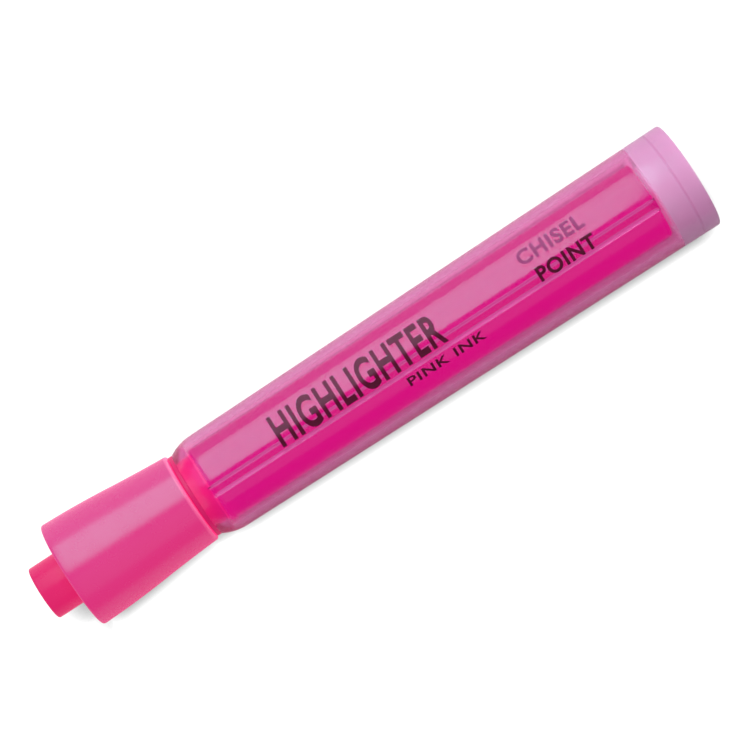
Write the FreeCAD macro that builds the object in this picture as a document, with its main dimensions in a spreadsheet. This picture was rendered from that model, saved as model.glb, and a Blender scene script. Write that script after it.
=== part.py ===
import FreeCAD, Part
import math
import os

import Sketcher

# A capped tank highlighter, lying on its side. The X axis is the pen's own axis. The origin is
# the centre of the tail face, where the posting socket opens, and +X runs towards the nib and
# the cap. +Z is up. Every length is in millimetres.

DIMENSIONS = [
    ("barrel_tail_radius", 9.5, "outside radius of the barrel at the tail face"),
    ("barrel_front_radius", 8.66, "outside radius where the shoulder starts"),
    ("shoulder_start", 91.0, "where the shoulder's curve leaves the straight barrel"),
    ("shoulder_radius", 8.8, "radius of the shoulder's curve"),
    ("barrel_front", 95.3, "front face of the barrel"),
    ("barrel_front_lip", 7.54, "outside radius of the barrel's front face"),
    ("tail_edge_fillet", 0.4, "rounding of the tail's outer edge"),
    ("plug_seat_radius", 8.1, "bore that holds the tail plug"),
    ("plug_seat_depth", 7.0, "length of that bore"),
    ("tank_rear_radius", 8.0, "bore of the tank just inside the plug seat"),
    ("tank_front_radius", 7.4, "bore of the tank at its front end"),
    ("tank_front", 92.8, "front end of the tank"),
    ("neck_bore_radius", 6.2, "bore in the barrel's front that holds the nib holder"),
    ("snap_place", 3.0, "where the plug's snap bead sits"),
    ("snap_half_width", 0.3, "half the width of the snap bead"),
    ("snap_height", 0.15, "height of the snap bead"),
    ("rib_width", 1.6, "width of each long rib inside the tank"),
    ("rib_inner_radius", 6.95, "radius of the ribs' inner edges"),
    ("rib_root_radius", 8.2, "radius where the ribs are buried in the wall"),
    ("rib_turn", 8.2, "how far the top rib is turned from straight up, in degrees"),
    ("rib_count", 3, "number of long ribs"),
    ("socket_radius", 4.85, "bore of the posting socket"),
    ("socket_depth", 6.2, "depth of the posting socket"),
    ("socket_wall", 0.9, "wall of the socket's tube"),
    ("plug_face", 1.2, "thickness of the plug's end disc"),
    ("plug_skirt_wall", 0.9, "wall of the plug's skirt"),
    ("core_rear", 7.7, "rear end of the ink core"),
    ("core_front", 92.3, "front end of the ink core"),
    ("core_radius", 6.75, "radius of the ink core"),
    ("core_end_fillet", 0.6, "rounding of the ink core's ends"),
    ("film_radius", 6.9, "outside radius of the film sleeve"),
    ("film_setback", 0.8, "how far the film stops short of each end of the core"),
    ("nib_radius", 2.6, "radius of the nib's round body"),
    ("nib_rear", 86.5, "rear point of the nib, inside the core"),
    ("nib_rear_radius", 1.3, "radius of the nib's rear end"),
    ("nib_taper", 3.0, "length of the nib's tapered rear end"),
    ("nib_tip", 116.5, "front of the chisel edge"),
    ("chisel_start", 110.9, "where the chisel's flats begin"),
    ("chisel_half_edge", 0.75, "half the thickness of the chisel edge"),
    ("chisel_slant", 2.6, "how far the chisel edge slants back across its width"),
    ("chisel_fillet", 0.25, "rounding of the chisel edge"),
    ("collar_front", 96.1, "front face of the nib holder's collar"),
    ("collar_radius", 7.5, "radius of the nib holder's collar"),
    ("collar_fillet", 0.15, "rounding of the collar's edges"),
    ("neck_radius", 6.43, "radius of the neck that the cap fits over"),
    ("neck_bead_radius", 6.5, "radius of the raised bead on the neck"),
    ("neck_bead_place", 99.2, "middle of the bead on the neck"),
    ("neck_bead_half", 0.5, "half the width of the bead on the neck"),
    ("neck_front", 102.6, "where the neck turns into the cone"),
    ("nose_radius", 3.87, "radius of the round nose that the seal cup fits over"),
    ("nose_start", 107.4, "where the cone turns into the nose"),
    ("nose_front", 109.6, "front face of the nose"),
    ("nose_fillet", 0.3, "rounding of the nose"),
    ("holder_bore", 4.9, "bore of the holder's rear chamber"),
    ("holder_chamber_front", 101.4, "front end of the holder's rear chamber"),
    ("nib_seat_start", 105.4, "where the nib's close seat begins"),
    ("fin_thickness", 0.9, "thickness of the fins that centre the nib"),
    ("fin_rear", 93.6, "rear ends of the fins"),
    ("fin_root", 0.3, "how deep the fins' outer edges are buried in the holder's wall"),
    ("fin_count", 4, "number of fins"),
    ("rim_place", 96.2, "open rim of the cap"),
    ("rim_radius", 7.93, "outside radius of the cap at its rim"),
    ("flare_turn", 107.0, "where the cap's flare turns from hollow to full"),
    ("flare_turn_radius", 8.76, "outside radius of the cap there"),
    ("flare_hollow_curve", 245.0, "radius of the flare's hollow curve"),
    ("flare_full_curve", 157.0, "radius of the flare's full curve"),
    ("cap_end", 119.5, "end of the cap's flared skirt"),
    ("cap_end_radius", 9.5, "outside radius of the cap's flared end"),
    ("cap_end_fillet", 0.42, "rounding of the flared end's outer edge"),
    ("rim_fillet", 0.42, "rounding of the rim's outer edge"),
    ("rim_inner_fillet", 0.2, "rounding of the rim's inner edge"),
    ("skirt_wall", 0.95, "wall of the flared skirt at its end"),
    ("slot_floor", 105.5, "floor of the ring-shaped slot between skirt and inner tube"),
    ("slot_floor_width", 0.5, "width of the slot at its floor"),
    ("inner_tube_radius", 7.1, "outside radius of the cap's inner tube"),
    ("cap_bore", 6.55, "bore of the cap at its rim"),
    ("cap_bore_end", 6.2, "bore of the cap at its closed end"),
    ("web_inside", 117.7, "inner face of the cap's end web"),
    ("web_outside", 119.0, "outer face of the cap's end web"),
    ("stub_radius", 4.7, "radius of the stub, the closed end of the seal cup"),
    ("hub_radius", 5.0, "radius of the seal cup where it is pressed into the web"),
    ("sleeve_radius", 4.75, "radius of the seal cup inside the cap"),
    ("stub_end", 125.0, "closed end of the seal cup"),
    ("stub_fillet", 0.32, "rounding of the seal cup's closed end"),
    ("cup_mouth", 108.0, "open mouth of the seal cup"),
    ("cup_bore", 3.95, "bore of the seal cup"),
    ("cup_end_wall", 1.3, "thickness of the seal cup's closed end"),
    ("cup_collar_radius", 5.9, "radius of the collar that stops the seal cup at the web"),
    ("cup_collar_width", 1.0, "width of that collar"),
]

NO_DISTANCE = "0"
NEAR = 1e-4
FULL_TURN = 360

# How a sketch names the ends of an edge, its own origin and its two axes.
START = 1
END = 2
ORIGIN = -1
ALONG_AXIS = -1
ACROSS_AXIS = -2

document = FreeCAD.newDocument("highlighter")
sheet = document.addObject("Spreadsheet::Sheet", "size")


def fill_sheet():
    for row, (alias, value, note) in enumerate(DIMENSIONS, start=1):
        sheet.set(f"A{row}", note)
        sheet.set(f"B{row}", str(value))
        sheet.setAlias(f"B{row}", alias)
    document.recompute()


def number(expression):
    """The value of an expression made of the sheet's dimensions."""
    answer = sheet.evalExpression(expression)
    return float(getattr(answer, "Value", answer))


def new_body(label):
    body = document.addObject("PartDesign::Body", label)
    body.Label = label
    return body


def origin_item(body, role):
    """One of the body's own planes or axes."""
    for feature in body.Origin.OriginFeatures:
        if feature.Role == role:
            return feature
    raise ValueError(f"{body.Label} has no {role}")


def new_sketch(body, name, role):
    sketch = body.newObject("Sketcher::SketchObject", f"{body.Label}_{name}")
    sketch.AttachmentSupport = [(origin_item(body, role), "")]
    sketch.MapMode = "FlatFace"
    return sketch


def pin_point(sketch, edge, end, place):
    """Hold one end of an edge at its distances from the origin, both read from the sheet."""
    for kind, axis, expression in zip(("DistanceX", "DistanceY"), (ACROSS_AXIS, ALONG_AXIS), place):
        if expression == NO_DISTANCE:
            sketch.addConstraint(Sketcher.Constraint("PointOnObject", edge, end, axis))
            continue
        held = Sketcher.Constraint(kind, ORIGIN, START, edge, end, number(expression))
        sketch.setExpression(f"Constraints[{sketch.addConstraint(held)}]", expression)


def arc_between(start, end, radius, bulge):
    """An arc from start to end. It bulges to the left of that direction, or to the right."""
    chord = end - start
    sideways = FreeCAD.Vector(-chord.y, chord.x, 0).normalize()
    rise = radius - math.sqrt(radius ** 2 - (chord.Length / 2) ** 2)
    if bulge == "right":
        rise = -rise
    middle = (start + end) / 2 + sideways * rise
    return Part.Arc(start, middle, end)


def closed_outline(sketch, corners):
    """Join the corners in a closed loop. A corner may name the arc that leads on to the next."""
    places = [corner[:2] for corner in corners]
    points = [FreeCAD.Vector(number(along), number(across), 0) for along, across in places]
    for index, corner in enumerate(corners):
        start, end = points[index], points[(index + 1) % len(points)]
        if len(corner) == 2:
            sketch.addGeometry(Part.LineSegment(start, end), False)
            continue
        radius, bulge = corner[2:]
        arc = arc_between(start, end, number(radius), bulge)
        sketch.addGeometry(arc, False)
        held = sketch.addConstraint(Sketcher.Constraint("Radius", index, number(radius)))
        sketch.setExpression(f"Constraints[{held}]", radius)
    ends = [first_and_last(sketch, index, points[index]) for index in range(len(points))]
    for index, place in enumerate(places):
        before = (index - 1) % len(points)
        last = ends[before][1]
        first = ends[index][0]
        sketch.addConstraint(Sketcher.Constraint("Coincident", before, last, index, first))
        pin_point(sketch, index, first, place)


def first_and_last(sketch, edge, start):
    """Which end of an edge lies at the start point, and which is the other."""
    if sketch.getPoint(edge, START).distanceToPoint(start) < NEAR:
        return START, END
    return END, START


def revolve(body, sketch):
    feature = body.newObject("PartDesign::Revolution", f"{body.Label}_turned")
    feature.Profile = sketch
    feature.ReferenceAxis = (sketch, ["H_Axis"])
    feature.Angle = FULL_TURN
    body.Tip = feature
    sketch.Visibility = False
    document.recompute()


def turned_body(label, corners):
    body = new_body(label)
    sketch = new_sketch(body, "section", "XY_Plane")
    closed_outline(sketch, corners)
    revolve(body, sketch)
    return body


def ring_edges(feature, along, radius):
    """Names of the round edges at one place along the axis and one radius."""
    names = []
    for index, edge in enumerate(feature.Shape.Edges, start=1):
        curve = edge.Curve
        if not isinstance(curve, Part.Circle):
            continue
        if abs(curve.Center.x - number(along)) < NEAR and abs(curve.Radius - number(radius)) < NEAR:
            names.append(f"Edge{index}")
    return names


def round_rings(body, name, rings, radius):
    """Fillet the round edges that are listed as (place along the axis, radius)."""
    names = []
    for along, ring_radius in rings:
        found = ring_edges(body.Tip, along, ring_radius)
        if not found:
            raise ValueError(f"{body.Label} has no round edge at {along}, {ring_radius}")
        names.extend(found)
    round_edges(body, name, names, radius)


def round_edges(body, name, names, radius):
    before = body.Tip
    fillet = body.newObject("PartDesign::Fillet", f"{body.Label}_{name}")
    fillet.Base = (before, names)
    fillet.Radius = number(radius)
    fillet.setExpression("Radius", radius)
    body.Tip = fillet
    document.recompute()


def repeated_bar(body, name, width, low, high, start, length, count):
    """A bar along X, standing on the Z axis from low to high, repeated round X."""
    sketch = new_sketch(body, name, "YZ_Plane")
    half = f"({width}) / 2"
    sketch.setExpression("AttachmentOffset.Base.z", start)
    left = f"-({half})"
    rectangle = [(left, low), (half, low), (half, high), (left, high)]
    points = [FreeCAD.Vector(number(across), number(up), 0) for across, up in rectangle]
    sides = range(len(points))
    bottom, right_side, top, left_side = sides
    for side in sides:
        sketch.addGeometry(Part.LineSegment(points[side], points[(side + 1) % len(points)]), False)
    for side in sides:
        before = (side - 1) % len(points)
        sketch.addConstraint(Sketcher.Constraint("Coincident", before, END, side, START))
    sketch.addConstraint(Sketcher.Constraint("Vertical", right_side))
    sketch.addConstraint(Sketcher.Constraint("Horizontal", top))
    sketch.addConstraint(Sketcher.Constraint("Vertical", left_side))
    sketch.addConstraint(Sketcher.Constraint("Symmetric", bottom, START, bottom, END, ACROSS_AXIS))
    held = Sketcher.Constraint("DistanceX", bottom, START, bottom, END, number(width))
    sketch.setExpression(f"Constraints[{sketch.addConstraint(held)}]", width)
    for side, height in ((right_side, low), (left_side, high)):
        held = Sketcher.Constraint("DistanceY", ORIGIN, START, side, START, number(height))
        sketch.setExpression(f"Constraints[{sketch.addConstraint(held)}]", height)
    pad = body.newObject("PartDesign::Pad", f"{body.Label}_{name}_pad")
    pad.Profile = sketch
    pad.Length = number(length)
    pad.setExpression("Length", length)
    sketch.Visibility = False
    document.recompute()
    pattern = body.newObject("PartDesign::PolarPattern", f"{body.Label}_{name}_ring")
    pattern.Originals = [pad]
    pattern.Axis = (origin_item(body, "X_Axis"), [""])
    pattern.Angle = FULL_TURN
    pattern.Occurrences = int(number(count))
    pattern.setExpression("Occurrences", count)
    body.Tip = pattern
    document.recompute()


def make_barrel():
    seat = "size.plug_seat_radius"
    groove = "size.plug_seat_radius + size.snap_height"
    body = turned_body("barrel", [
        ("0", "size.barrel_tail_radius"),
        ("size.shoulder_start", "size.barrel_front_radius", "size.shoulder_radius", "left"),
        ("size.barrel_front", "size.barrel_front_lip"),
        ("size.barrel_front", "size.neck_bore_radius"),
        ("size.tank_front", "size.neck_bore_radius"),
        ("size.tank_front", "size.tank_front_radius"),
        ("size.plug_seat_depth", "size.tank_rear_radius"),
        ("size.plug_seat_depth", seat),
        ("size.snap_place + size.snap_half_width", seat),
        ("size.snap_place", groove),
        ("size.snap_place - size.snap_half_width", seat),
        ("0", seat),
    ])
    round_rings(body, "edge", [("0", "size.barrel_tail_radius")], "size.tail_edge_fillet")
    repeated_bar(body, "rib", "size.rib_width", "size.rib_inner_radius", "size.rib_root_radius",
                 "size.plug_seat_depth", "size.tank_front - size.plug_seat_depth", "size.rib_count")
    turn = -number("size.rib_turn")
    body.Placement = FreeCAD.Placement(FreeCAD.Vector(), FreeCAD.Rotation(FreeCAD.Vector(1, 0, 0), turn))
    return body


def make_tail_plug():
    seat = "size.plug_seat_radius"
    bead = "size.plug_seat_radius + size.snap_height"
    skirt_inside = "size.plug_seat_radius - size.plug_skirt_wall"
    tube_outside = "size.socket_radius + size.socket_wall"
    tube_front = "size.socket_depth + size.socket_wall"
    body = turned_body("tail_plug", [
        ("0", "size.socket_radius"),
        ("0", seat),
        ("size.snap_place - size.snap_half_width", seat),
        ("size.snap_place", bead),
        ("size.snap_place + size.snap_half_width", seat),
        ("size.plug_seat_depth", seat),
        ("size.plug_seat_depth", skirt_inside),
        ("size.plug_face", skirt_inside),
        ("size.plug_face", tube_outside),
        (tube_front, tube_outside),
        (tube_front, "0"),
        ("size.socket_depth", "0"),
        ("size.socket_depth", "size.socket_radius"),
    ])
    return body


def make_ink_core():
    body = turned_body("ink_core", [
        ("size.core_rear", "0"),
        ("size.core_rear", "size.core_radius"),
        ("size.core_front", "size.core_radius"),
        ("size.core_front", "size.nib_radius"),
        ("size.nib_rear + size.nib_taper", "size.nib_radius"),
        ("size.nib_rear", "size.nib_rear_radius"),
        ("size.nib_rear", "0"),
    ])
    ends = [("size.core_rear", "size.core_radius"), ("size.core_front", "size.core_radius")]
    round_rings(body, "ends", ends, "size.core_end_fillet")
    return body


def make_core_film():
    rear = "size.core_rear + size.film_setback"
    front = "size.core_front - size.film_setback"
    body = turned_body("core_film", [
        (rear, "size.core_radius"),
        (rear, "size.film_radius"),
        (front, "size.film_radius"),
        (front, "size.core_radius"),
    ])
    return body


def make_nib_holder():
    bead_rear = "size.neck_bead_place - size.neck_bead_half"
    bead_front = "size.neck_bead_place + size.neck_bead_half"
    body = turned_body("nib_holder", [
        ("size.tank_front", "size.holder_bore"),
        ("size.tank_front", "size.neck_bore_radius"),
        ("size.barrel_front", "size.neck_bore_radius"),
        ("size.barrel_front", "size.collar_radius"),
        ("size.collar_front", "size.collar_radius"),
        ("size.collar_front", "size.neck_radius"),
        (bead_rear, "size.neck_radius"),
        ("size.neck_bead_place", "size.neck_bead_radius"),
        (bead_front, "size.neck_radius"),
        ("size.neck_front", "size.neck_radius"),
        ("size.nose_start", "size.nose_radius"),
        ("size.nose_front", "size.nose_radius"),
        ("size.nose_front", "size.nib_radius"),
        ("size.nib_seat_start", "size.nib_radius"),
        ("size.holder_chamber_front", "size.holder_bore"),
    ])
    round_rings(body, "nose", [("size.nose_front", "size.nose_radius")], "size.nose_fillet")
    rings = [("size.barrel_front", "size.collar_radius"), ("size.collar_front", "size.collar_radius")]
    round_rings(body, "collar", rings, "size.collar_fillet")
    repeated_bar(body, "fin", "size.fin_thickness", "size.nib_radius", "size.holder_bore + size.fin_root",
                 "size.fin_rear", "size.holder_chamber_front - size.fin_rear", "size.fin_count")
    return body


def cut_through(body, name, role, corners):
    """Pocket a closed outline right through the body, both ways from the plane."""
    sketch = new_sketch(body, name, role)
    closed_outline(sketch, corners)
    document.recompute()
    before = body.Shape.Volume
    pocket = body.newObject("PartDesign::Pocket", f"{body.Label}_{name}_cut")
    pocket.Profile = sketch
    pocket.Type = "ThroughAll"
    pocket.Midplane = True
    body.Tip = pocket
    sketch.Visibility = False
    document.recompute()
    if body.Shape.Volume > before - NEAR:
        raise ValueError(f"{body.Label}: the cut {name} removes nothing")


def make_nib():
    body = turned_body("nib", [
        ("size.nib_rear", "0"),
        ("size.nib_rear", "size.nib_rear_radius"),
        ("size.nib_rear + size.nib_taper", "size.nib_radius"),
        ("size.nib_tip", "size.nib_radius"),
        ("size.nib_tip", "0"),
    ])
    beyond = "size.nib_tip + size.nib_radius"
    outside = "size.nib_radius * 2"
    for side, sign in (("upper", ""), ("lower", "-")):
        cut_through(body, side, "XZ_Plane", [
            ("size.chisel_start", f"{sign}size.nib_radius"),
            ("size.chisel_start", f"{sign}({outside})"),
            (beyond, f"{sign}({outside})"),
            (beyond, f"{sign}size.chisel_half_edge"),
            ("size.nib_tip", f"{sign}size.chisel_half_edge"),
        ])
    cut_through(body, "slant", "XY_Plane", [
        ("size.nib_tip", "size.nib_radius"),
        (beyond, "size.nib_radius"),
        (beyond, "-size.nib_radius"),
        ("size.nib_tip - size.chisel_slant", "-size.nib_radius"),
    ])
    tip_edges = []
    for index, edge in enumerate(body.Tip.Shape.Edges, start=1):
        if edge.BoundBox.XMin > number("size.nib_tip - size.chisel_slant") - NEAR:
            tip_edges.append(f"Edge{index}")
    round_edges(body, "edge", tip_edges, "size.chisel_fillet")
    return body


def make_cap_shell():
    skirt_inside = "size.cap_end_radius - size.skirt_wall"
    floor_outside = "size.inner_tube_radius + size.slot_floor_width"
    body = turned_body("cap_shell", [
        ("size.rim_place", "size.cap_bore"),
        ("size.rim_place", "size.rim_radius", "size.flare_hollow_curve", "right"),
        ("size.flare_turn", "size.flare_turn_radius", "size.flare_full_curve", "left"),
        ("size.cap_end", "size.cap_end_radius"),
        ("size.cap_end", skirt_inside),
        ("size.slot_floor", floor_outside),
        ("size.slot_floor", "size.inner_tube_radius"),
        ("size.web_outside", "size.inner_tube_radius"),
        ("size.web_outside", "size.hub_radius"),
        ("size.web_inside", "size.hub_radius"),
        ("size.web_inside", "size.cap_bore_end"),
    ])
    round_rings(body, "rim", [("size.rim_place", "size.rim_radius")], "size.rim_fillet")
    round_rings(body, "mouth", [("size.rim_place", "size.cap_bore")], "size.rim_inner_fillet")
    round_rings(body, "end", [("size.cap_end", "size.cap_end_radius")], "size.cap_end_fillet")
    return body


def make_seal_cup():
    collar_rear = "size.web_inside - size.cup_collar_width"
    body = turned_body("seal_cup", [
        ("size.cup_mouth", "size.cup_bore"),
        ("size.cup_mouth", "size.sleeve_radius"),
        (collar_rear, "size.sleeve_radius"),
        (collar_rear, "size.cup_collar_radius"),
        ("size.web_inside", "size.cup_collar_radius"),
        ("size.web_inside", "size.hub_radius"),
        ("size.web_outside", "size.hub_radius"),
        ("size.web_outside", "size.stub_radius"),
        ("size.stub_end", "size.stub_radius"),
        ("size.stub_end", "0"),
        ("size.stub_end - size.cup_end_wall", "0"),
        ("size.stub_end - size.cup_end_wall", "size.cup_bore"),
    ])
    round_rings(body, "end", [("size.stub_end", "size.stub_radius")], "size.stub_fillet")
    return body


def check_and_export(bodies):
    document.recompute()
    for item in document.Objects:
        if "Invalid" in item.State or "Error" in item.State:
            raise ValueError(f"{item.Label} failed: {item.State}")
    for body in bodies:
        shape = body.Shape
        if shape.isNull() or not shape.isValid() or len(shape.Solids) != 1:
            raise ValueError(f"{body.Label} has a bad shape")
    os.makedirs("parts", exist_ok=True)
    for body in bodies:
        body.Shape.exportStep(f"parts/{body.Label}.step")
        print(f"{body.Label}: {body.Shape.Volume:.1f} mm3")


fill_sheet()
check_and_export([
    make_barrel(),
    make_tail_plug(),
    make_ink_core(),
    make_core_film(),
    make_nib_holder(),
    make_nib(),
    make_cap_shell(),
    make_seal_cup(),
])
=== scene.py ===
import math

import bmesh
import bpy
from mathutils import Matrix, Vector


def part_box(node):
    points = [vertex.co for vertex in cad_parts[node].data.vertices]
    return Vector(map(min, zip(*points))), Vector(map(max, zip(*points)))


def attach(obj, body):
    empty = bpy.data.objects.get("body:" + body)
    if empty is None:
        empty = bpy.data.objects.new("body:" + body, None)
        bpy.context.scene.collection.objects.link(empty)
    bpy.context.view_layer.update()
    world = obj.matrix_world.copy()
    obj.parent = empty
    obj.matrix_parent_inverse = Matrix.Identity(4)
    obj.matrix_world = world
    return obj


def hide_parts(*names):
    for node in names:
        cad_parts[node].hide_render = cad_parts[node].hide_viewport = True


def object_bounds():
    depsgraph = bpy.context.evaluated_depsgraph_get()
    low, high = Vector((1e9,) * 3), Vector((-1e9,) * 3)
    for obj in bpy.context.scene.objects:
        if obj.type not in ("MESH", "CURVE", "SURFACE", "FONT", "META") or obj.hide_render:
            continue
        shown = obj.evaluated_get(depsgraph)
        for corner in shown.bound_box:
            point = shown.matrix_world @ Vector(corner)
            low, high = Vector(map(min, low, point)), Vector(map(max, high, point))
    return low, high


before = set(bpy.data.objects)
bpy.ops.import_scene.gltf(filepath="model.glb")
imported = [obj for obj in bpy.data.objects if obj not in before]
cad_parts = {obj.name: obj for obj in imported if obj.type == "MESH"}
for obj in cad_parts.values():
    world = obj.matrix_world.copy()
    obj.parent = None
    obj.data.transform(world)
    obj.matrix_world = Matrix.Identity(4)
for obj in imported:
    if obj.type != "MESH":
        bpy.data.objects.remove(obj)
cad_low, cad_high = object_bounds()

# A capped tank highlighter lying on its side. The frame's X axis is the pen's own axis, from
# the tail to the cap, and Z is up. Lengths below are in millimetres unless a name says metres.
MM = 0.001
FULL_TURN = 2 * math.pi


def node_span(node):
    """Where a CAD node starts and ends along the pen, and its largest radius, in millimetres."""
    low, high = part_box(node)
    return low.x / MM, high.x / MM, high.y / MM


BARREL_REAR, BARREL_FRONT, TAIL_RADIUS = node_span("barrel")
PLUG_REAR, PLUG_FRONT, _ = node_span("tail_plug")
CORE_REAR, CORE_FRONT, CORE_RADIUS = node_span("ink_core")
FILM_REAR, FILM_FRONT, FILM_RADIUS = node_span("core_film")
_, HOLDER_FRONT, COLLAR_RADIUS = node_span("nib_holder")
_, _, NIB_RADIUS = node_span("nib")
CAP_RIM, CAP_END, CAP_RADIUS = node_span("cap_shell")
CUP_MOUTH, STUB_END, CUP_COLLAR_RADIUS = node_span("seal_cup")

# Sizes that the boxes of the CAD nodes don't give.
SHOULDER_START = 91.0
SHOULDER_RADIUS = 8.66
SHOULDER_CURVE = 8.8
BARREL_LIP = 7.54
PLUG_SEAT_RADIUS = 8.1
PLUG_SEAT_DEPTH = 7.0
TANK_REAR_RADIUS = 8.0
TANK_FRONT_RADIUS = 7.4
TANK_FRONT = 92.8
NECK_BORE = 6.2
SNAP_PLACE = 3.0
SNAP_HALF_WIDTH = 0.3
SNAP_HEIGHT = 0.15
RIB_WIDTH = 1.6
RIB_INNER_RADIUS = 6.95
RIB_TURN = math.radians(-8.2)
RIB_COUNT = 3
SOCKET_RADIUS = 4.85
SOCKET_DEPTH = 6.2
SOCKET_WALL = 0.9
PLUG_FACE = 1.2
PLUG_SKIRT_WALL = 0.9
COLLAR_FRONT = 96.1
NECK_RADIUS = 6.43
NECK_BEAD_RADIUS = 6.5
NECK_BEAD_PLACE = 99.2
NECK_BEAD_HALF = 0.5
NECK_FRONT = 102.6
NOSE_RADIUS = 3.87
NOSE_START = 107.4
HOLDER_BORE = 4.9
HOLDER_CHAMBER_FRONT = 101.4
NIB_SEAT_START = 105.4
RIM_RADIUS = 7.93
FLARE_TURN = 107.0
FLARE_TURN_RADIUS = 8.76
FLARE_HOLLOW_CURVE = 245.0
FLARE_FULL_CURVE = 157.0
SKIRT_WALL = 0.95
SLOT_FLOOR = 105.5
SLOT_FLOOR_WIDTH = 0.5
INNER_TUBE_RADIUS = 7.1
CAP_BORE = 6.55
CAP_BORE_END = 6.2
WEB_INSIDE = 117.7
WEB_OUTSIDE = 119.0
STUB_RADIUS = 4.7
HUB_RADIUS = 5.0
SLEEVE_RADIUS = 4.75
CUP_BORE = 3.95
CUP_END_WALL = 1.3
CUP_COLLAR_WIDTH = 1.0
FILM_GAP = 0.02

# Sizes that only the drawn pieces have. The plug wets the clear plastic all round, so no air shows
# between them. Other pressed parts have a hairline of air.
CONTACT = 0.01
HAIRLINE = 0.01
RIB_EDGE = 0.35
RIB_END = 1.2
RIB_EDGE_MARK = "rib_edge"

# How round the edges are.
SHARP_EDGE = 0.1
SEAM_EDGE = 0.12
CRISP_EDGE = 0.15
PLAIN_EDGE = 0.2
EASY_EDGE = 0.3
STUB_EDGE = 0.32
SOFT_EDGE = 0.4
CAP_EDGE = 0.42
NOSE_EDGE = 0.5
DEEP_EDGE = 0.6

# How the plastic's look changes from place to place. The glows here are painted light, and the rib edges'
# and the rim's colours are painted highlights.
SHOULDER_FADE = 1.0
SHOULDER_PAINTED_LIGHT = (0.08, 0.001, 0.022)
RIB_EDGE_CLEARNESS = 0.1
RIB_EDGE_PAINTED_LIGHT = (0.40, 0.07, 0.22)
RIB_EDGE_PAINTED_COLOUR = (0.25, 0.12, 0.22)
SNAP_LINE_COLOUR = (0.75, 0.63, 0.72)
REAR_END_PAINTED_LIGHT = (0.44, 0.001, 0.15)
NECK_PAINTED_LIGHT_SHARE = 0.6
RIM_PALE_START = 0.2
RIM_PALE_END = 0.7
RIM_HIGHLIGHT_COLOUR = (0.60, 0.26, 0.46)

# ---------------------------------------------------------------------------------------------
# Camera: straight above the pen, turned so that the cap points to the lower left.

CAMERA_ALONG = 60.5
CAMERA_ASIDE = -0.48
CAMERA_HEIGHT = 536.0
CAMERA_LENS = 158.3
CAMERA_CLIP = 10.0
PEN_SLOPE = math.radians(33.03)


def make_camera():
    data = bpy.data.cameras.new("view_from_above")
    data.lens = CAMERA_LENS
    data.clip_start = CAMERA_CLIP * MM
    camera = bpy.data.objects.new("view_from_above", data)
    bpy.context.scene.collection.objects.link(camera)
    slope_cos, slope_sin = math.cos(PEN_SLOPE), math.sin(PEN_SLOPE)
    right = Vector((-slope_cos, slope_sin, 0))
    up = Vector((-slope_sin, -slope_cos, 0))
    back = Vector((0, 0, 1))
    turn = Matrix((right, up, back)).transposed().to_4x4()
    place = Vector((CAMERA_ALONG, CAMERA_ASIDE, CAMERA_HEIGHT)) * MM
    camera.matrix_world = Matrix.Translation(place) @ turn
    bpy.context.scene.camera = camera


# ---------------------------------------------------------------------------------------------
# Turned meshes.

TURN_STEPS = 192
RIB_STEPS = 24
FILLET_STEPS = 6
ARC_STEPS = 24
SHARP_ANGLE = math.radians(32)
ON_AXIS = 1e-6

# Points of an arc that are left out beside a rounded corner.
ARC_ROOM = 2


def fillet(before, corner, after, radius, steps=FILLET_STEPS):
    """Points of the arc that rounds a corner of an outline."""
    to_before = (Vector(before[:2]) - Vector(corner[:2])).normalized()
    to_after = (Vector(after[:2]) - Vector(corner[:2])).normalized()
    half = to_before.angle(to_after) / 2
    reach = radius / math.tan(half)
    centre = Vector(corner[:2]) + (to_before + to_after).normalized() * radius / math.sin(half)
    start = Vector(corner[:2]) + to_before * reach - centre
    end = Vector(corner[:2]) + to_after * reach - centre
    points = []
    for step in range(steps + 1):
        share = step / steps
        direction = start.slerp(end, share)
        points.append(tuple(centre + direction.normalized() * radius))
    return points


def rounded(corners):
    """An outline with its corners rounded. A corner is (along, radius) or (along, radius, rounding)."""
    points = []
    for index, corner in enumerate(corners):
        if len(corner) == 2:
            points.append(corner)
            continue
        before = corners[index - 1]
        after = corners[(index + 1) % len(corners)]
        points.extend(fillet(before, corner, after, corner[2]))
    return points


def arc(start, end, radius, side, steps=ARC_STEPS):
    """Points on an arc from start to end, both left out. Side is 1 if it bulges to the left."""
    chord = Vector(end) - Vector(start)
    left = Vector((-chord.y, chord.x)).normalized()
    depth = math.sqrt(radius ** 2 - (chord.length / 2) ** 2)
    centre = (Vector(start) + Vector(end)) / 2 - left * side * depth
    spread = 2 * math.asin(chord.length / 2 / radius)
    first = Vector(start) - centre
    points = []
    for step in range(1, steps):
        turn = -side * spread * step / steps
        turned = Matrix.Rotation(turn, 2) @ first
        points.append(tuple(centre + turned))
    return points


def even_turn(steps=TURN_STEPS):
    return [FULL_TURN * step / steps for step in range(steps)]


def lathe(name, outline, turns=None, radius_at=None):
    """A closed mesh turned round the X axis from a closed outline of (along, radius) points."""
    turns = turns or even_turn()
    mesh = bmesh.new()
    rings = []
    for point in outline:
        along, radius = point[:2]
        if radius < ON_AXIS:
            rings.append([mesh.verts.new((along * MM, 0, 0))] * len(turns))
            continue
        ring = []
        for turn in turns:
            reach = radius_at(point, turn) if radius_at else radius
            place = Vector((along, reach * math.cos(turn), reach * math.sin(turn)))
            ring.append(mesh.verts.new(place * MM))
        rings.append(ring)
    for index, ring in enumerate(rings):
        following = rings[(index + 1) % len(rings)]
        for step in range(len(turns)):
            beyond = (step + 1) % len(turns)
            corners = []
            for vertex in (ring[step], ring[beyond], following[beyond], following[step]):
                if vertex not in corners:
                    corners.append(vertex)
            if len(corners) > 2:
                mesh.faces.new(corners)
    bmesh.ops.recalc_face_normals(mesh, faces=mesh.faces)
    return finished_object(name, mesh)


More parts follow.
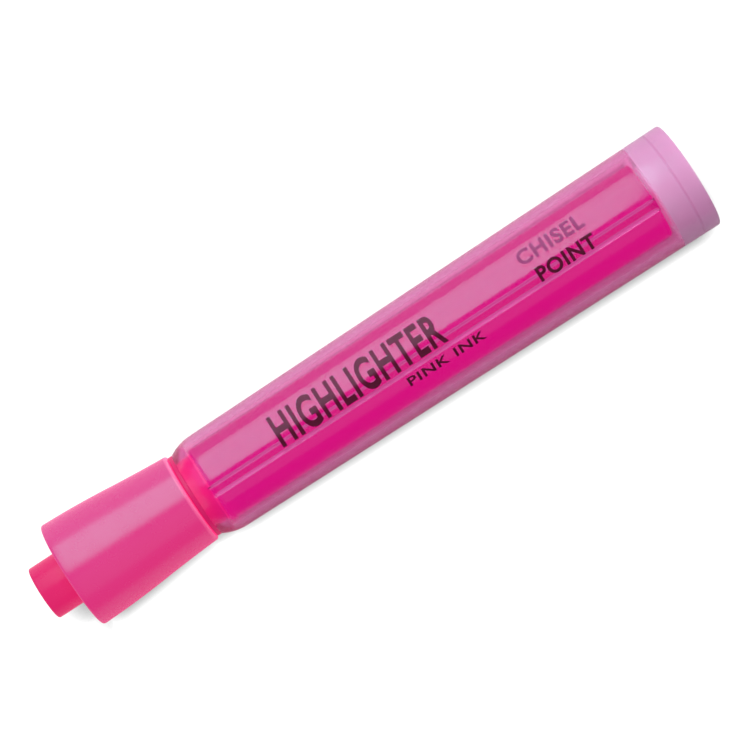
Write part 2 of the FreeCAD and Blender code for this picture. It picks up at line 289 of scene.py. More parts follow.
def finished_object(name, mesh):
    data = bpy.data.meshes.new(name)
    mesh.to_mesh(data)
    mesh.free()
    data.shade_smooth()
    data.set_sharp_from_angle(angle=SHARP_ANGLE)
    piece = bpy.data.objects.new(name, data)
    bpy.context.scene.collection.objects.link(piece)
    return piece


# ---------------------------------------------------------------------------------------------
# Materials.

# The stretch of the noise's values that is used.
NOISE_SPAN = (0.3, 0.7)

# How fine each noise is, in cycles per metre.
COLOUR_CLOUDS = 90
CLEAR_WAVES = 120
DYED_WAVES = 140
DYED_GRAIN = 500
FINE_GRAIN = 900
CORE_STRANDS = 2600
NIB_STRANDS = 3800

# How much the roughness varies to each side of its middle value.
CLEAR_VARIATION = 0.3
WALL_VARIATION = 0.15
DYED_VARIATION = 0.12

# How deep the bumps are, in millimetres.
CLEAR_WAVE_DEPTH = 0.002
DYED_WAVE_DEPTH = 0.01
STRAND_DEPTH = 0.05

# Inside this span of radii the barrel's finish goes over from its inner face's to its outer face's.
WALL_SPAN = (8.25, 8.45)

# The part of the lamps' light that passes clear plastic.
LAMP_LIGHT_PASSED = 0.96


class Shader:
    """A material with one principled shader, and short ways to add the nodes that feed it."""

    def __init__(self, name):
        self.material = bpy.data.materials.new(name)
        self.material.use_nodes = True
        self.tree = self.material.node_tree
        self.tree.nodes.clear()
        self.output = self.add("ShaderNodeOutputMaterial")
        self.principled = self.add("ShaderNodeBsdfPrincipled")
        self.join(self.principled, "BSDF", self.output, "Surface")

    def add(self, kind, **settings):
        node = self.tree.nodes.new(kind)
        for key, value in settings.items():
            setattr(node, key, value)
        return node

    def join(self, source, output, target, entry):
        self.tree.links.new(source.outputs[output], target.inputs[entry])

    def set(self, **values):
        """Set sockets of the principled shader, with spaces in their names written as _."""
        for name, value in values.items():
            self.principled.inputs[name.replace("_", " ")].default_value = value

    def remap(self, source, output, before, after):
        """Turn a value of one range, given as its two ends, into a value of another."""
        fit = self.add("ShaderNodeMapRange")
        fit.inputs["From Min"].default_value, fit.inputs["From Max"].default_value = before
        fit.inputs["To Min"].default_value, fit.inputs["To Max"].default_value = after
        self.join(source, output, fit, "Value")
        return fit

    def place(self):
        """The place on the pen, in metres."""
        parts = self.add("ShaderNodeSeparateXYZ")
        self.join(self.add("ShaderNodeTexCoord"), "Object", parts, "Vector")
        return parts

    def along(self, start, end, first=0.0, last=1.0):
        """A value that goes from first to last between two places along the pen, in millimetres."""
        return self.remap(self.place(), "X", (start * MM, end * MM), (first, last))

    def radius(self):
        """Distance from the pen's axis, in metres."""
        across = self.add("ShaderNodeVectorMath", operation="MULTIPLY")
        across.inputs[1].default_value = (0, 1, 1)
        length = self.add("ShaderNodeVectorMath", operation="LENGTH")
        self.join(self.add("ShaderNodeTexCoord"), "Object", across, 0)
        self.join(across, "Vector", length, 0)
        return length

    def noise(self, scale, detail=3.0, stretch=(1, 1, 1)):
        """Noise in the pen's own frame."""
        fit = self.add("ShaderNodeMapping")
        fit.inputs["Scale"].default_value = stretch
        noise = self.add("ShaderNodeTexNoise")
        noise.inputs["Scale"].default_value = scale
        noise.inputs["Detail"].default_value = detail
        self.join(self.add("ShaderNodeTexCoord"), "Object", fit, "Vector")
        self.join(fit, "Vector", noise, "Vector")
        return noise

    def rough_with(self, noise, middle, variation):
        """Roughness that varies to each side of a middle value, by a share of it."""
        ends = (middle * (1 - variation), middle * (1 + variation))
        self.join(self.remap(noise, "Fac", NOISE_SPAN, ends), "Result", self.principled, "Roughness")

    def rough_by_radius(self, noise, outer, inner):
        """Roughness that goes from the inner face's to the outer face's across the wall."""
        span = (WALL_SPAN[0] * MM, WALL_SPAN[1] * MM)
        wall = self.remap(self.radius(), "Value", span, (inner, outer))
        vary = self.remap(noise, "Fac", NOISE_SPAN, (1 - WALL_VARIATION, 1 + WALL_VARIATION))
        product = self.add("ShaderNodeMath", operation="MULTIPLY")
        self.join(wall, "Result", product, 0)
        self.join(vary, "Result", product, 1)
        self.join(product, "Value", self.principled, "Roughness")

    def colour_with(self, noise, low, high):
        ramp = self.add("ShaderNodeValToRGB")
        for element, colour, position in zip(ramp.color_ramp.elements, (low, high), NOISE_SPAN):
            element.color = (*colour, 1)
            element.position = position
        self.join(noise, "Fac", ramp, "Fac")
        self.join(ramp, "Color", self.principled, "Base Color")

    def bump_with(self, noise, depth):
        """Bump of a depth in millimetres."""
        bump = self.add("ShaderNodeBump")
        bump.inputs["Distance"].default_value = depth * MM
        bump.inputs["Strength"].default_value = 1
        self.join(noise, "Fac", bump, "Height")
        self.join(bump, "Normal", self.principled, "Normal")

    def blend(self, entry, share, output, colour):
        """Blend a colour into one of the principled shader's colours by the share given."""
        mix = self.add("ShaderNodeMixRGB")
        mix.inputs["Color1"].default_value = self.principled.inputs[entry].default_value
        for link in self.principled.inputs[entry].links:
            self.tree.links.new(link.from_socket, mix.inputs["Color1"])
        mix.inputs["Color2"].default_value = (*colour, 1)
        self.join(share, output, mix, "Fac")
        self.join(mix, "Color", self.principled, entry)

    def choose(self, ray, usual, special):
        """Show one shader as usual, and another to the kind of ray given."""
        switch = self.add("ShaderNodeMixShader")
        self.join(self.add("ShaderNodeLightPath"), ray, switch, "Fac")
        self.join(usual, 0, switch, 1)
        self.join(special, 0, switch, 2)
        self.join(switch, "Shader", self.output, "Surface")

    def tint_inside(self, per_millimetre):
        """Plastic that takes off light along its way through, as much of each colour as given."""
        strongest = max(per_millimetre)
        absorb = self.add("ShaderNodeVolumeAbsorption")
        absorb.inputs["Color"].default_value = (*(1 - value / strongest for value in per_millimetre), 1)
        absorb.inputs["Density"].default_value = strongest / MM
        self.join(absorb, "Volume", self.output, "Volume")

    def let_lamps_through(self):
        """Light from the lamps passes the clear plastic on its way to what is inside."""
        clear = self.add("ShaderNodeBsdfTransparent")
        clear.inputs["Color"].default_value = (LAMP_LIGHT_PASSED, LAMP_LIGHT_PASSED, LAMP_LIGHT_PASSED, 1)
        self.choose("Is Shadow Ray", self.principled, clear)


def clear_plastic(name, absorb, roughness, inner_roughness=None, ior=1.49, tint=(1, 1, 1), gloss=0.5,
                  painted_glow=(0, 0, 0)):
    """Clear tinted plastic. The wall's inner face may be rougher than its polished outer face. What it
    gives off is painted light, shining whatever the lamps do.
    """
    shader = Shader(name)
    shader.set(Base_Color=(1, 1, 1, 1), Transmission_Weight=1, IOR=ior)
    shader.set(Specular_IOR_Level=gloss, Specular_Tint=(*tint, 1))
    shader.set(Emission_Color=(*painted_glow, 1), Emission_Strength=1)
    grain = shader.noise(FINE_GRAIN)
    if inner_roughness is None:
        shader.rough_with(grain, roughness, CLEAR_VARIATION)
    else:
        shader.rough_by_radius(grain, roughness, inner_roughness)
    shader.bump_with(shader.noise(CLEAR_WAVES, detail=1.0), CLEAR_WAVE_DEPTH)
    shader.tint_inside(absorb)
    shader.let_lamps_through()
    return shader


def dyed_plastic(name, low, high, painted_glow, roughness, tint, gloss=0.5):
    """Dyed plastic with a clouded colour from low to high. It gives off painted light of the colour given,
    which shines whatever the lamps do and flattens its shading.
    """
    shader = Shader(name)
    shader.colour_with(shader.noise(COLOUR_CLOUDS), low, high)
    shader.rough_with(shader.noise(DYED_GRAIN), roughness, DYED_VARIATION)
    shader.set(Specular_IOR_Level=gloss, Specular_Tint=(*tint, 1))
    shader.set(Emission_Color=(*painted_glow, 1), Emission_Strength=1)
    shader.bump_with(shader.noise(DYED_WAVES, detail=1.0), DYED_WAVE_DEPTH)
    return shader


def strands(name, scale, stretch, low, high, painted_glow, strength):
    """Fibres that run along the pen. Their colour is mostly painted light that they give off, standing in
    for the dye's fluorescence and for even lighting.
    """
    shader = Shader(name)
    fibres = shader.noise(scale, detail=4.0, stretch=(stretch, 1, 1))
    shader.colour_with(fibres, low, high)
    shader.set(Roughness=0.6, Emission_Color=(*painted_glow, 1), Emission_Strength=strength)
    shader.bump_with(fibres, STRAND_DEPTH)
    return shader


def print_ink(name, low, high):
    shader = Shader(name)
    shader.colour_with(shader.noise(FINE_GRAIN), low, high)
    shader.set(Roughness=0.22, Specular_IOR_Level=0.35, Specular_Tint=(1, 0.6, 0.9, 1))
    return shader


def paint_shoulder_light(shader):
    """Painted light: the shoulder's thick plastic gives off a pink of its own, rising over the shoulder
    towards the front.
    """
    share = shader.along(SHOULDER_START - SHOULDER_FADE, TANK_FRONT + SHOULDER_FADE)
    shader.blend("Emission Color", share, "Result", SHOULDER_PAINTED_LIGHT)


def paint_rib_edge_highlights(shader):
    """Painted highlight lines along the ribs' edges, their whole length: there the plastic turns pale and
    nearly opaque and gives off painted light.
    """
    marks = shader.add("ShaderNodeAttribute", attribute_name=RIB_EDGE_MARK)
    shader.blend("Emission Color", marks, "Fac", RIB_EDGE_PAINTED_LIGHT)
    shader.blend("Base Color", marks, "Fac", RIB_EDGE_PAINTED_COLOUR)
    clear = shader.remap(marks, "Fac", (0.0, 1.0), (1.0, RIB_EDGE_CLEARNESS))
    shader.join(clear, "Result", shader.principled, "Transmission Weight")


def line_snap_bead(shader):
    """A mauve line drawn on the crest of the plug's snap bead, where it sits in the barrel's groove."""
    foot = PLUG_SEAT_RADIUS + CONTACT
    crest = shader.remap(shader.radius(), "Value", (foot * MM, (foot + SNAP_HEIGHT) * MM), (0.0, 1.0))
    shader.blend("Base Color", crest, "Result", SNAP_LINE_COLOUR)


def paint_rear_end_light(shader):
    """Painted light: the nib holder's rear end gives off the core's pink, fading out towards the barrel's
    front.
    """
    share = shader.along(CORE_FRONT, BARREL_FRONT, 1.0, 0.0)
    shader.blend("Emission Color", share, "Result", REAR_END_PAINTED_LIGHT)


def dim_neck_painted_light(shader):
    """The holder gives off less painted light on the neck in front of the collar, so that the lamps'
    shading shows there.
    """
    share = shader.along(COLLAR_FRONT, NECK_BEAD_PLACE, 1.0, NECK_PAINTED_LIGHT_SHARE)
    shader.join(share, "Result", shader.principled, "Emission Strength")


def paint_rim_highlight(shader):
    """Painted highlight: the cap's thin rim is paler than the rest of it, standing in for its glint and
    the light its thin edge lets through.
    """
    share = shader.along(CAP_RIM + RIM_PALE_END, CAP_RIM + RIM_PALE_START)
    shader.blend("Base Color", share, "Result", RIM_HIGHLIGHT_COLOUR)


# ---------------------------------------------------------------------------------------------
# Pieces.


def stand_for(piece, node, shader, body):
    """A finer mesh takes the place of its CAD node: it takes the material, rides on that node's body, and
    the node is hidden.
    """
    piece.data.materials.append(shader.material)
    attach(piece, body)
    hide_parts(node)


def rib_centres():
    return [math.pi / 2 + RIB_TURN + FULL_TURN * index / RIB_COUNT for index in range(RIB_COUNT)]


def from_rib(turn):
    """Distance round the wall from the nearest rib's middle, in millimetres."""
    offs = [(turn - centre + math.pi) % FULL_TURN - math.pi for centre in rib_centres()]
    return min(abs(off) for off in offs) * RIB_INNER_RADIUS


def rib_share(turn):
    """How much of a rib's height stands at this angle: 1 on a rib, 0 between ribs."""
    share = (RIB_WIDTH / 2 + RIB_EDGE / 2 - from_rib(turn)) / RIB_EDGE
    share = min(1.0, max(0.0, share))
    return share * share * (3 - 2 * share)


def ribbed_turn():
    """Angles for the barrel, close together at the ribs' edges."""
    reach = (RIB_WIDTH / 2 + 2 * RIB_EDGE) / RIB_INNER_RADIUS
    turns = {turn for turn in even_turn() if from_rib(turn) > reach * RIB_INNER_RADIUS}
    for centre in rib_centres():
        for step in range(-RIB_STEPS, RIB_STEPS + 1):
            turns.add((centre + reach * step / RIB_STEPS) % FULL_TURN)
    return sorted(turns)


def ribbed_radius(point, turn):
    """A point of the tank's wall may carry the share of the rib's height that it has."""
    if len(point) < 3:
        return point[1]
    return point[1] - (point[1] - RIB_INNER_RADIUS) * point[2] * rib_share(turn)


def tank_wall():
    """The wall inside the tank, from front to rear, with the ribs' ends."""
    length = TANK_FRONT - PLUG_SEAT_DEPTH
    points = []
    for along, share in ((TANK_FRONT, 0), (TANK_FRONT - RIB_END, 1), (CORE_REAR + RIB_END, 1),
                         (CORE_REAR, 0), (PLUG_SEAT_DEPTH, 0)):
        part = (along - PLUG_SEAT_DEPTH) / length
        radius = TANK_REAR_RADIUS + (TANK_FRONT_RADIUS - TANK_REAR_RADIUS) * part
        points.append((along, radius, share))
    return points


def mark_rib_edges(barrel):
    """A value on each vertex: 1 where a rib's side meets its inner edge, 0 away from the ribs."""
    marks = barrel.data.attributes.new(RIB_EDGE_MARK, "FLOAT", "POINT")
    for index, vertex in enumerate(barrel.data.vertices):
        radius = math.hypot(vertex.co.y, vertex.co.z) / MM
        turn = math.atan2(vertex.co.z, vertex.co.y)
        off_edge = abs(from_rib(turn) - RIB_WIDTH / 2 + RIB_EDGE / 4)
        front, rear = TANK_FRONT - RIB_END / 2, CORE_REAR + RIB_END / 2
        inside = front * MM > vertex.co.x > rear * MM and radius < TANK_REAR_RADIUS
        marks.data[index].value = max(0.0, 1 - off_edge / RIB_EDGE) if inside else 0.0


def make_barrel():
    shoulder = (SHOULDER_START, SHOULDER_RADIUS)
    lip = (BARREL_FRONT, BARREL_LIP)
    outer = rounded([
        (BARREL_REAR, PLUG_SEAT_RADIUS, SEAM_EDGE),
        (BARREL_REAR, TAIL_RADIUS, SOFT_EDGE),
        shoulder,
        lip,
        (BARREL_FRONT, NECK_BORE, SHARP_EDGE),
        (TANK_FRONT, NECK_BORE),
    ])
    at_shoulder = outer.index(shoulder) + 1
    outline = outer[:at_shoulder] + arc(shoulder, lip, SHOULDER_CURVE, 1) + outer[at_shoulder:]
    groove = [
        (PLUG_SEAT_DEPTH, PLUG_SEAT_RADIUS),
        (SNAP_PLACE + SNAP_HALF_WIDTH, PLUG_SEAT_RADIUS),
        (SNAP_PLACE, PLUG_SEAT_RADIUS + SNAP_HEIGHT),
        (SNAP_PLACE - SNAP_HALF_WIDTH, PLUG_SEAT_RADIUS),
    ]
    piece = lathe("barrel_shell", outline + tank_wall() + groove, ribbed_turn(), ribbed_radius)
    mark_rib_edges(piece)
    # The wall gives off a faint pink of painted light, brightening its edges.
    shader = clear_plastic("barrel_plastic_look", absorb=(0.072, 0.33, 0.140), roughness=0.10,
                           inner_roughness=0.15, tint=(0.06, 1, 0.86), painted_glow=(0.055, 0, 0.020))
    paint_shoulder_light(shader)
    paint_rib_edge_highlights(shader)
    stand_for(piece, "barrel", shader, "pen")


def make_tail_plug():
    tube = SOCKET_RADIUS + SOCKET_WALL
    inside = PLUG_SEAT_RADIUS - PLUG_SKIRT_WALL
    outside = PLUG_SEAT_RADIUS + CONTACT
    outline = rounded([
        (PLUG_REAR, SOCKET_RADIUS, CRISP_EDGE),
        (PLUG_REAR, outside, SEAM_EDGE),
        (SNAP_PLACE - SNAP_HALF_WIDTH, outside),
        (SNAP_PLACE, outside + SNAP_HEIGHT),
        (SNAP_PLACE + SNAP_HALF_WIDTH, outside),
        (PLUG_SEAT_DEPTH, outside, PLAIN_EDGE),
        (PLUG_SEAT_DEPTH, inside, PLAIN_EDGE),
        (PLUG_FACE, inside, EASY_EDGE),
        (PLUG_FACE, tube, EASY_EDGE),
        (PLUG_FRONT, tube, EASY_EDGE),
        (PLUG_FRONT, 0),
        (SOCKET_DEPTH, 0),
        (SOCKET_DEPTH, SOCKET_RADIUS, EASY_EDGE),
    ])
    piece = lathe("tail_plug_cup", outline)
    # The plug gives off a faint cool painted light, evening out its shading.
    shader = dyed_plastic("plug_plastic_look", low=(0.85, 0.90, 0.89), high=(0.87, 0.92, 0.91),
                          painted_glow=(0.05, 0.12, 0.105), roughness=0.3, tint=(0.8, 1, 1))
    line_snap_bead(shader)
    stand_for(piece, "tail_plug", shader, "pen")


def make_ink_core():
    outline = rounded([
        (CORE_REAR, 0),
        (CORE_REAR, CORE_RADIUS, DEEP_EDGE),
        (CORE_FRONT, CORE_RADIUS, EASY_EDGE),
        (CORE_FRONT, 0),
    ])
    piece = lathe("ink_core_bundle", outline)
    # The core's colour is almost all painted light; its lit base colour is nearly black.
    shader = strands("ink_core_fibre", CORE_STRANDS, stretch=0.04, low=(0.01, 0.001, 0.02),
                     high=(0.03, 0.002, 0.03), painted_glow=(0.92, 0.001, 0.305), strength=0.68)
    shader.set(Specular_IOR_Level=0.0)
    stand_for(piece, "ink_core", shader, "pen")


def make_core_film():
    outline = [
        (FILM_REAR, CORE_RADIUS + FILM_GAP),
        (FILM_REAR, FILM_RADIUS),
        (FILM_FRONT, FILM_RADIUS),
        (FILM_FRONT, CORE_RADIUS + FILM_GAP),
    ]
    piece = lathe("core_film_sleeve", outline)
    shader = clear_plastic("core_film_look", absorb=(0.02, 0.2, 0.06), roughness=0.15, ior=1.05, gloss=0.0)
    stand_for(piece, "core_film", shader, "pen")


def make_nib_holder():
    """The holder's rear end is drawn right up to the ink core, so that no gap shows between them."""
    rear = CORE_FRONT + HAIRLINE
    outline = rounded([
        (rear, HOLDER_BORE, SHARP_EDGE),
        (rear, NECK_BORE - HAIRLINE, SHARP_EDGE),
        (BARREL_FRONT + HAIRLINE, NECK_BORE - HAIRLINE),
        (BARREL_FRONT + HAIRLINE, COLLAR_RADIUS, CRISP_EDGE),
        (COLLAR_FRONT, COLLAR_RADIUS, CRISP_EDGE),
        (COLLAR_FRONT, NECK_RADIUS, PLAIN_EDGE),
        (NECK_BEAD_PLACE - NECK_BEAD_HALF, NECK_RADIUS),
        (NECK_BEAD_PLACE, NECK_BEAD_RADIUS),
        (NECK_BEAD_PLACE + NECK_BEAD_HALF, NECK_RADIUS),
        (NECK_FRONT, NECK_RADIUS, NOSE_EDGE),
        (NOSE_START, NOSE_RADIUS, NOSE_EDGE),
        (HOLDER_FRONT, NOSE_RADIUS, EASY_EDGE),
        (HOLDER_FRONT, NIB_RADIUS, SHARP_EDGE),
        (NIB_SEAT_START, NIB_RADIUS),
        (HOLDER_CHAMBER_FRONT, HOLDER_BORE),
    ])
    piece = lathe("nib_holder_moulding", outline)
    # About half of the holder's colour is painted light, the rest lit base colour.
    shader = dyed_plastic("holder_plastic_look", low=(0.42, 0.012, 0.10), high=(0.45, 0.015, 0.11),
                          painted_glow=(0.42, 0.005, 0.080), roughness=0.35, tint=(0.3, 1, 1), gloss=0.25)
    dim_neck_painted_light(shader)
    paint_rear_end_light(shader)
    stand_for(piece, "nib_holder", shader, "pen")


def make_cap_shell():
    turn = (FLARE_TURN, FLARE_TURN_RADIUS)
    rim = (CAP_RIM, RIM_RADIUS, CAP_EDGE)
    end = (CAP_END, CAP_RADIUS, CAP_EDGE)
    hollow = arc(rim[:2], turn, FLARE_HOLLOW_CURVE, -1)
    full = arc(turn, end[:2], FLARE_FULL_CURVE, 1)
    outline = rounded([
        (CAP_RIM, CAP_BORE, PLAIN_EDGE),
        rim,
        *hollow[ARC_ROOM:],
        turn,
        *full[:-ARC_ROOM],
        end,
        (CAP_END, CAP_RADIUS - SKIRT_WALL, EASY_EDGE),
        (SLOT_FLOOR, INNER_TUBE_RADIUS + SLOT_FLOOR_WIDTH, PLAIN_EDGE),
        (SLOT_FLOOR, INNER_TUBE_RADIUS, PLAIN_EDGE),
        (WEB_OUTSIDE, INNER_TUBE_RADIUS, EASY_EDGE),
        (WEB_OUTSIDE, HUB_RADIUS),
        (WEB_INSIDE, HUB_RADIUS),
        (WEB_INSIDE, CAP_BORE_END, SOFT_EDGE),
    ])
    piece = lathe("cap_skirt", outline)
    # Most of the cap's colour is painted light; its lit base colour is dark.
    shader = dyed_plastic("cap_plastic_look", low=(0.10, 0.024, 0.15), high=(0.12, 0.028, 0.16),
                          painted_glow=(0.69, 0.024, 0.15), roughness=0.26, tint=(0.05, 1, 1), gloss=0.76)
    paint_rim_highlight(shader)
    stand_for(piece, "cap_shell", shader, "cap")


def make_seal_cup():
    collar_rear = WEB_INSIDE - CUP_COLLAR_WIDTH
    outline = rounded([
        (CUP_MOUTH, CUP_BORE, PLAIN_EDGE),
        (CUP_MOUTH, SLEEVE_RADIUS, PLAIN_EDGE),
        (collar_rear, SLEEVE_RADIUS),
        (collar_rear, CUP_COLLAR_RADIUS, PLAIN_EDGE),
        (WEB_INSIDE, CUP_COLLAR_RADIUS),
        (WEB_INSIDE, HUB_RADIUS),
        (WEB_OUTSIDE, HUB_RADIUS),
        (WEB_OUTSIDE, STUB_RADIUS),
        (STUB_END, STUB_RADIUS, STUB_EDGE),
        (STUB_END, 0),
        (STUB_END - CUP_END_WALL, 0),
        (STUB_END - CUP_END_WALL, CUP_BORE, DEEP_EDGE),
    ])
    piece = lathe("seal_cup_stub", outline)
    # Most of the stub's colour is painted light; its lit base colour is dark.
    shader = dyed_plastic("cup_plastic_look", low=(0.17, 0.012, 0.07), high=(0.19, 0.015, 0.08),
                          painted_glow=(0.66, 0.014, 0.115), roughness=0.3, tint=(0.3, 1, 1), gloss=0.3)
    stand_for(piece, "seal_cup", shader, "cap")


PRINT_THICKNESS = 0.03
PRINT_GAP = 0.004
PRINT_STRIP = 0.35
PRINT_WELD = 1e-4
LETTER_SPACING = 1.12
LETTER_CURVE_STEPS = 6


def barrel_radius(along):
    return TAIL_RADIUS + (SHOULDER_RADIUS - TAIL_RADIUS) * along / SHOULDER_START


def wrapped(name, outline, along, aside, ink):
    """A flat mesh in millimetres laid round the barrel as a thin closed layer of ink."""
    thick = bmesh.new()
    thick.from_mesh(outline)
    bmesh.ops.remove_doubles(thick, verts=thick.verts, dist=PRINT_WELD)
    low = min(vertex.co.y for vertex in thick.verts)
    high = max(vertex.co.y for vertex in thick.verts)
    place = low + PRINT_STRIP
    while place < high:
        every = thick.verts[:] + thick.edges[:] + thick.faces[:]
        bmesh.ops.bisect_plane(thick, geom=every, plane_co=(0, place, 0), plane_no=(0, 1, 0))
        place += PRINT_STRIP
    grown = bmesh.ops.extrude_face_region(thick, geom=thick.faces[:], use_keep_orig=True)
    top = {item for item in grown["geom"] if isinstance(item, bmesh.types.BMVert)}
    for vertex in thick.verts:
        away = PRINT_GAP + (PRINT_THICKNESS if vertex in top else 0)
        x = along - vertex.co.x
        radius = barrel_radius(x) + away
        turn = (aside - vertex.co.y) / radius
        vertex.co = Vector((x, radius * math.sin(turn), radius * math.cos(turn))) * MM
    bmesh.ops.recalc_face_normals(thick, faces=thick.faces)
    piece = finished_object(name, thick)
    piece.data.materials.append(ink.material)
    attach(piece, "pen")


def lettering(words, length, height, weight):
    """A flat mesh of plain capitals, centred, of the length and height asked for."""
    curve = bpy.data.curves.new("lettering", "FONT")
    curve.body = words
    curve.offset = weight
    curve.space_character = LETTER_SPACING
    curve.resolution_u = LETTER_CURVE_STEPS
    holder = bpy.data.objects.new("lettering", curve)
    bpy.context.scene.collection.objects.link(holder)
    bpy.context.view_layer.update()
    flat = bpy.data.meshes.new_from_object(holder.evaluated_get(bpy.context.evaluated_depsgraph_get()))
    bpy.data.objects.remove(holder)
    for axis, extent in enumerate((length, height)):
        places = [vertex.co[axis] for vertex in flat.vertices]
        low, high = min(places), max(places)
        for vertex in flat.vertices:
            vertex.co[axis] = (vertex.co[axis] - (low + high) / 2) * extent / (high - low)
    return flat


def make_print():
    dark = print_ink("print_ink_dark", (0.10, 0.004, 0.025), (0.14, 0.008, 0.04))
    mauve = print_ink("print_ink_mauve", (0.36, 0.05, 0.20), (0.42, 0.07, 0.24))
    main = lettering("HIGHLIGHTER", length=31.5, height=5.8, weight=0.028)
    small = lettering("PINK INK", length=14.5, height=1.6, weight=0.02)
    upper = lettering("CHISEL", length=12.2, height=2.7, weight=0.03)
    lower = lettering("POINT", length=10.8, height=2.6, weight=0.03)
    wrapped("print_main", main, along=63.3, aside=-1.5, ink=dark)
    wrapped("print_small", small, along=49.4, aside=3.6, ink=dark)
    wrapped("print_upper", upper, along=25.3, aside=-3.5, ink=mauve)
    wrapped("print_lower", lower, along=24.6, aside=0.4, ink=dark)


def finish_nib():
    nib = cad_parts["nib"]
    # The nib gives off a little painted light on top of its lit fibre colour.
    shader = strands("nib_fibre_look", NIB_STRANDS, stretch=0.06, low=(0.72, 0.008, 0.14),
                     high=(0.9, 0.02, 0.26), painted_glow=(0.9, 0.01, 0.18), strength=0.12)
    nib.data.materials.clear()
    nib.data.materials.append(shader.material)


# ---------------------------------------------------------------------------------------------
# Stage.

FLOOR_REACH = 4000.0

# The floor gives off a little light of its own, painted light that is stronger on the lit side of the pen.
# White paper is what the camera sees of it, up to a narrow painted shadow that no lamp casts.
LIT_SIDE_LIFT = 0.22
SHADE_SIDE_LIFT = 0.02
LIFT_REACH = 14.0
PAPER_WHITE = 1.25
SHADOW_WHITE = 0.3
SHADOW_SPAN = (0.5, 0.92)
SHADOW_REACH = 5.8
STUB_SHADOW_REACH = 8.0
STUB_SHADOW_FADE = 0.5
SHADOW_LEAN = math.radians(50)
SHADOW_SAMPLES = 16


def floor_paper():
    shader = Shader("floor_paper")
    shader.set(Base_Color=(0.85, 0.85, 0.85, 1), Roughness=0.9, Specular_IOR_Level=0.0)
    shader.set(Emission_Color=(1, 1, 1, 1))
    # Painted light: the floor gives off more of its own light on the pen's lit side.
    sides = (-LIFT_REACH * MM, LIFT_REACH * MM)
    painted_side_lift = shader.remap(shader.place(), "Y", sides, (LIT_SIDE_LIFT, SHADE_SIDE_LIFT))
    shader.join(painted_side_lift, "Result", shader.principled, "Emission Strength")
    # Painted contact shadow: ambient occlusion with a leaned normal darkens the paper close to the pen,
    # reaching further beyond the cap's end at rest.
    painted_contact_shadow = shader.add("ShaderNodeAmbientOcclusion", samples=SHADOW_SAMPLES)
    reach = shader.along(CAP_END - STUB_SHADOW_FADE, CAP_END + STUB_SHADOW_FADE,
                         SHADOW_REACH * MM, STUB_SHADOW_REACH * MM)
    shader.join(reach, "Result", painted_contact_shadow, "Distance")
    lean = shader.add("ShaderNodeCombineXYZ")
    lean.inputs["Y"].default_value = -math.sin(SHADOW_LEAN)
    lean.inputs["Z"].default_value = math.cos(SHADOW_LEAN)
    shader.join(lean, "Vector", painted_contact_shadow, "Normal")
    paper = shader.remap(painted_contact_shadow, "AO", SHADOW_SPAN, (SHADOW_WHITE, PAPER_WHITE))
    lit = shader.add("ShaderNodeEmission")
    shader.join(paper, "Result", lit, "Strength")
    shader.choose("Is Camera Ray", shader.principled, lit)
    return shader.material


def make_floor():
    data = bpy.data.meshes.new("floor")
    mesh = bmesh.new()
    bmesh.ops.create_grid(mesh, x_segments=1, y_segments=1, size=FLOOR_REACH * MM)
    mesh.to_mesh(data)
    mesh.free()
    floor = bpy.data.objects.new("floor", data)
    floor.location.z = cad_low.z
    bpy.context.scene.collection.objects.link(floor)
    data.materials.append(floor_paper())


# The surroundings are dark, brighter where they are seen through clear plastic, and almost white
# to the camera.
AROUND_LIGHT = 0.05
SEEN_THROUGH_LIGHT = 0.25
BACKDROP_LIGHT = 0.9

LAMP_DISTANCE = 600.0
LAMP_LENGTH = 360.0
CARD_LEAN = 66
CARD_LENGTH = 420.0
CARD_WIDTH = 700.0
CARD_LIGHT = 0.6


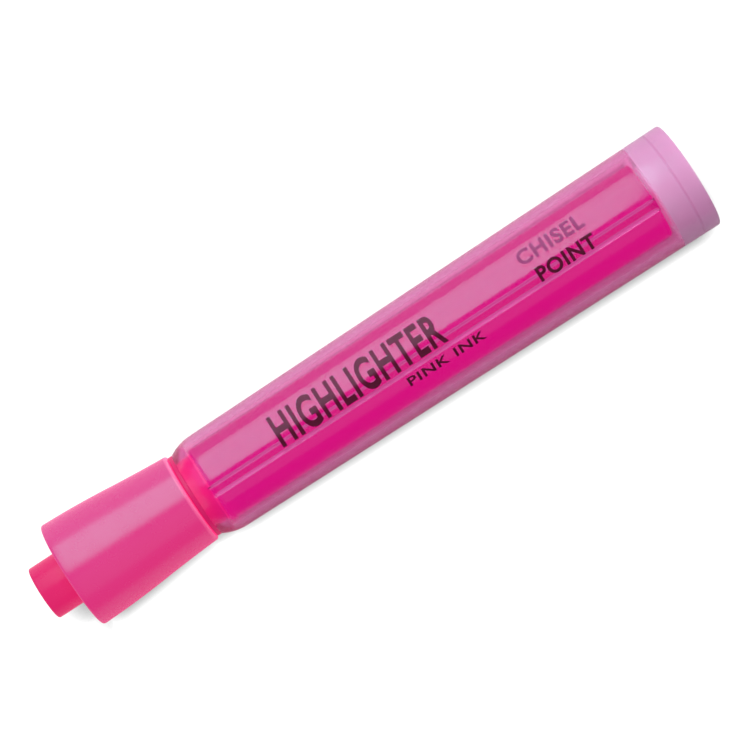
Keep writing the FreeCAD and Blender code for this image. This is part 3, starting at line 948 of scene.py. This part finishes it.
def make_surroundings():
    world = bpy.data.worlds.new("studio")
    world.use_nodes = True
    tree = world.node_tree
    around = tree.nodes["Background"]
    seen = tree.nodes.new("ShaderNodeMapRange")
    seen.inputs["To Min"].default_value = AROUND_LIGHT
    seen.inputs["To Max"].default_value = SEEN_THROUGH_LIGHT
    backdrop = tree.nodes.new("ShaderNodeBackground")
    backdrop.inputs["Strength"].default_value = BACKDROP_LIGHT
    path = tree.nodes.new("ShaderNodeLightPath")
    choose = tree.nodes.new("ShaderNodeMixShader")
    tree.links.new(path.outputs["Is Transmission Ray"], seen.inputs["Value"])
    tree.links.new(seen.outputs["Result"], around.inputs["Strength"])
    tree.links.new(path.outputs["Is Camera Ray"], choose.inputs["Fac"])
    tree.links.new(around.outputs["Background"], choose.inputs[1])
    tree.links.new(backdrop.outputs["Background"], choose.inputs[2])
    tree.links.new(choose.outputs["Shader"], tree.nodes["World Output"].inputs["Surface"])
    for background in (around, backdrop):
        background.inputs["Color"].default_value = (1, 1, 1, 1)
    bpy.context.scene.world = world


def softbox(name, radiance, across, along=LAMP_LENGTH, lean=0, tilt=0):
    """A soft light that leans off straight up, by lean towards +Y and by tilt towards +X."""
    data = bpy.data.lights.new(name, "AREA")
    data.shape = "RECTANGLE"
    data.size = along * MM
    data.size_y = across * MM
    data.energy = radiance * math.pi * data.size * data.size_y
    light = bpy.data.objects.new(name, data)
    bpy.context.scene.collection.objects.link(light)
    direction = Matrix.Rotation(math.radians(-lean), 3, "X") @ Vector((0, 0, 1))
    direction = Matrix.Rotation(math.radians(tilt), 3, "Y") @ direction
    centre = Vector((CAMERA_ALONG, 0, 0)) * MM
    side = Vector((1, 0, 0))
    side = (side - direction * side.dot(direction)).normalized()
    upward = direction.cross(side)
    turn = Matrix((side, upward, direction)).transposed().to_4x4()
    light.matrix_world = Matrix.Translation(centre + direction * LAMP_DISTANCE * MM) @ turn
    light.visible_camera = False


def make_lights():
    softbox("key_light", radiance=3.0, across=690, lean=-40)
    softbox("side_light", radiance=0.8, across=180, lean=-80)
    softbox("fill_light", radiance=0.32, across=540, lean=28)
    softbox("cap_card", CARD_LIGHT, CARD_WIDTH, CARD_LENGTH, tilt=CARD_LEAN)
    softbox("tail_card", CARD_LIGHT, CARD_WIDTH, CARD_LENGTH, tilt=-CARD_LEAN)
    bpy.context.scene.view_settings.view_transform = "Standard"


make_camera()
make_barrel()
make_tail_plug()
make_ink_core()
make_core_film()
make_nib_holder()
make_cap_shell()
make_seal_cup()
finish_nib()
make_print()
make_floor()
make_surroundings()
make_lights()
